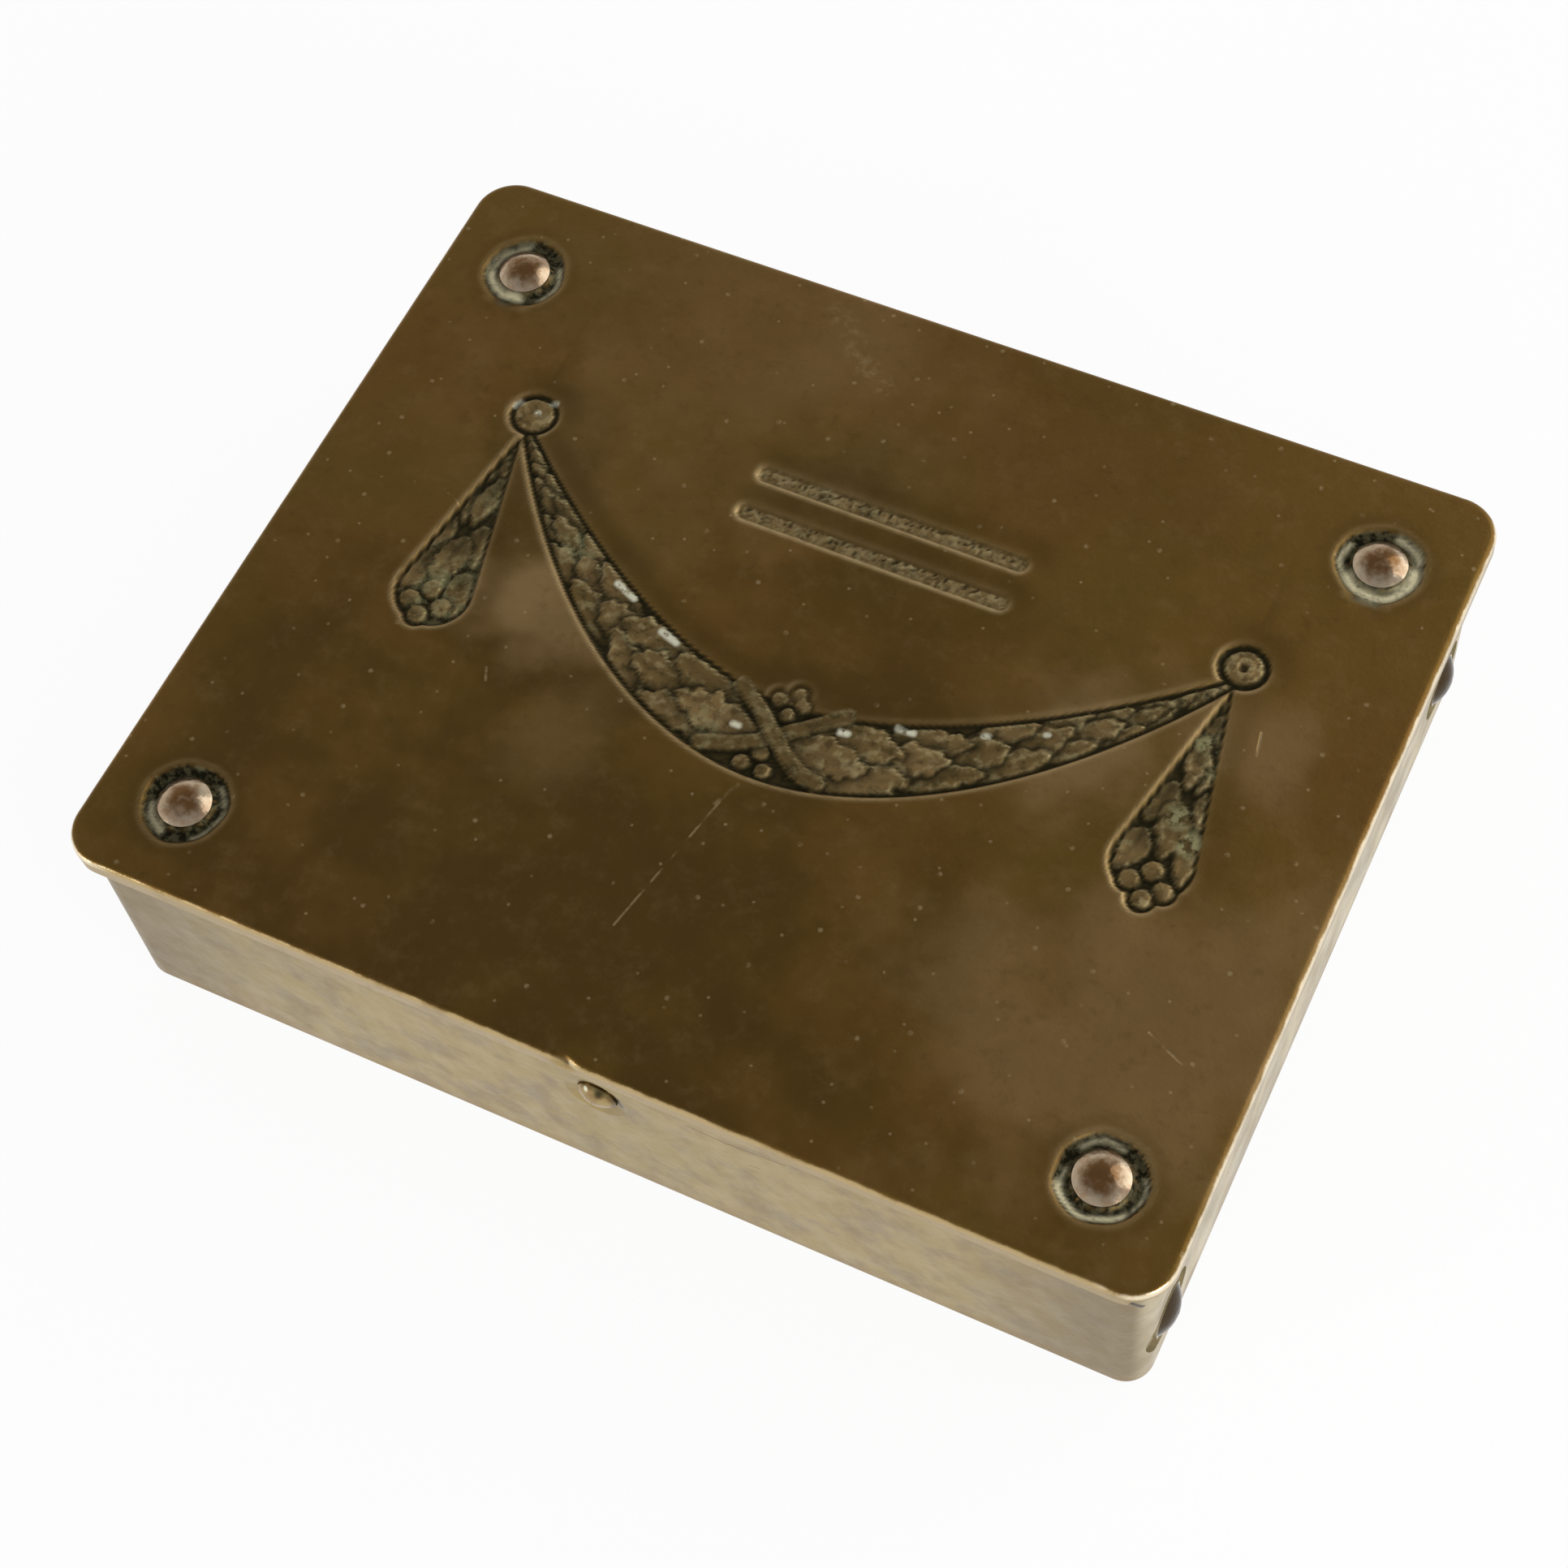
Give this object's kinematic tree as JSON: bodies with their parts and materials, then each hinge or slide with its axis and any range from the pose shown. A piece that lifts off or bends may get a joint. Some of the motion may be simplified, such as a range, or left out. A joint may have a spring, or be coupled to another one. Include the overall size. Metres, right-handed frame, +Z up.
{
  "type": "stamp box",
  "caption": "Low rectangular sheet brass stamp box with a hinged lid, domed corner studs, a stamped laurel swag and a push button catch.",
  "frame": {"origin": "on the table at the centre of the box's footprint", "axes": "+X along the long side to the right, -Y out of the front with the push button, +Z up"},
  "size_m": [0.1, 0.0792, 0.0249],
  "materials": {
    "lid_brass": "dark brown patina, satin, worn bright on the edges",
    "wall_brass": "satin, lightly blotched",
    "inner_brass": "satin, aged",
    "fitting_brass": "satin, aged",
    "button_brass": "polished by use",
    "stud_copper": "coppery, polished by use",
    "spring_steel": "drawn wire"
  },
  "bodies": {
    "box_body": {"body_walls": "wall_brass", "base_plate": "inner_brass", "long_divider": "inner_brass", "cross_divider_left": "inner_brass", "cross_divider_right": "inner_brass", "stamp_ramp_front_left": "inner_brass", "stamp_ramp_rear_left": "inner_brass", "stamp_ramp_front_middle": "inner_brass", "stamp_ramp_rear_middle": "inner_brass", "stamp_ramp_front_right": "inner_brass", "stamp_ramp_rear_right": "inner_brass", "hinge_body_leaf": "fitting_brass", "hinge_pin": "fitting_brass", "button_bush": "fitting_brass", "catch_bracket": "fitting_brass", "side_stud_left_front": "stud_copper", "side_stud_left_rear": "stud_copper", "side_stud_right_front": "stud_copper", "side_stud_right_rear": "stud_copper", "button_spring": "spring_steel"},
    "lid": {"lid_plate": "lid_brass", "hinge_lid_leaf": "fitting_brass", "keeper": "fitting_brass", "lid_stud_front_left": "stud_copper", "lid_stud_rear_left": "stud_copper", "lid_stud_front_right": "stud_copper", "lid_stud_rear_right": "stud_copper"},
    "button": {"push_button": "button_brass", "latch_plate": "fitting_brass"}
  },
  "joints": [
    {"name": "lid_hinge", "type": "hinge", "parent": "box_body", "child": "lid", "pos_m": [0, 0.0384, 0.0216], "axis": [-1, 0, 0], "range_deg": [0, 105]},
    {"name": "button_press", "type": "slide", "parent": "box_body", "child": "button", "axis": [0, 1, 0], "range_m": [0, 0.001], "stiffness_N_per_m": 300, "deforming": ["button_spring"]}
  ]
}
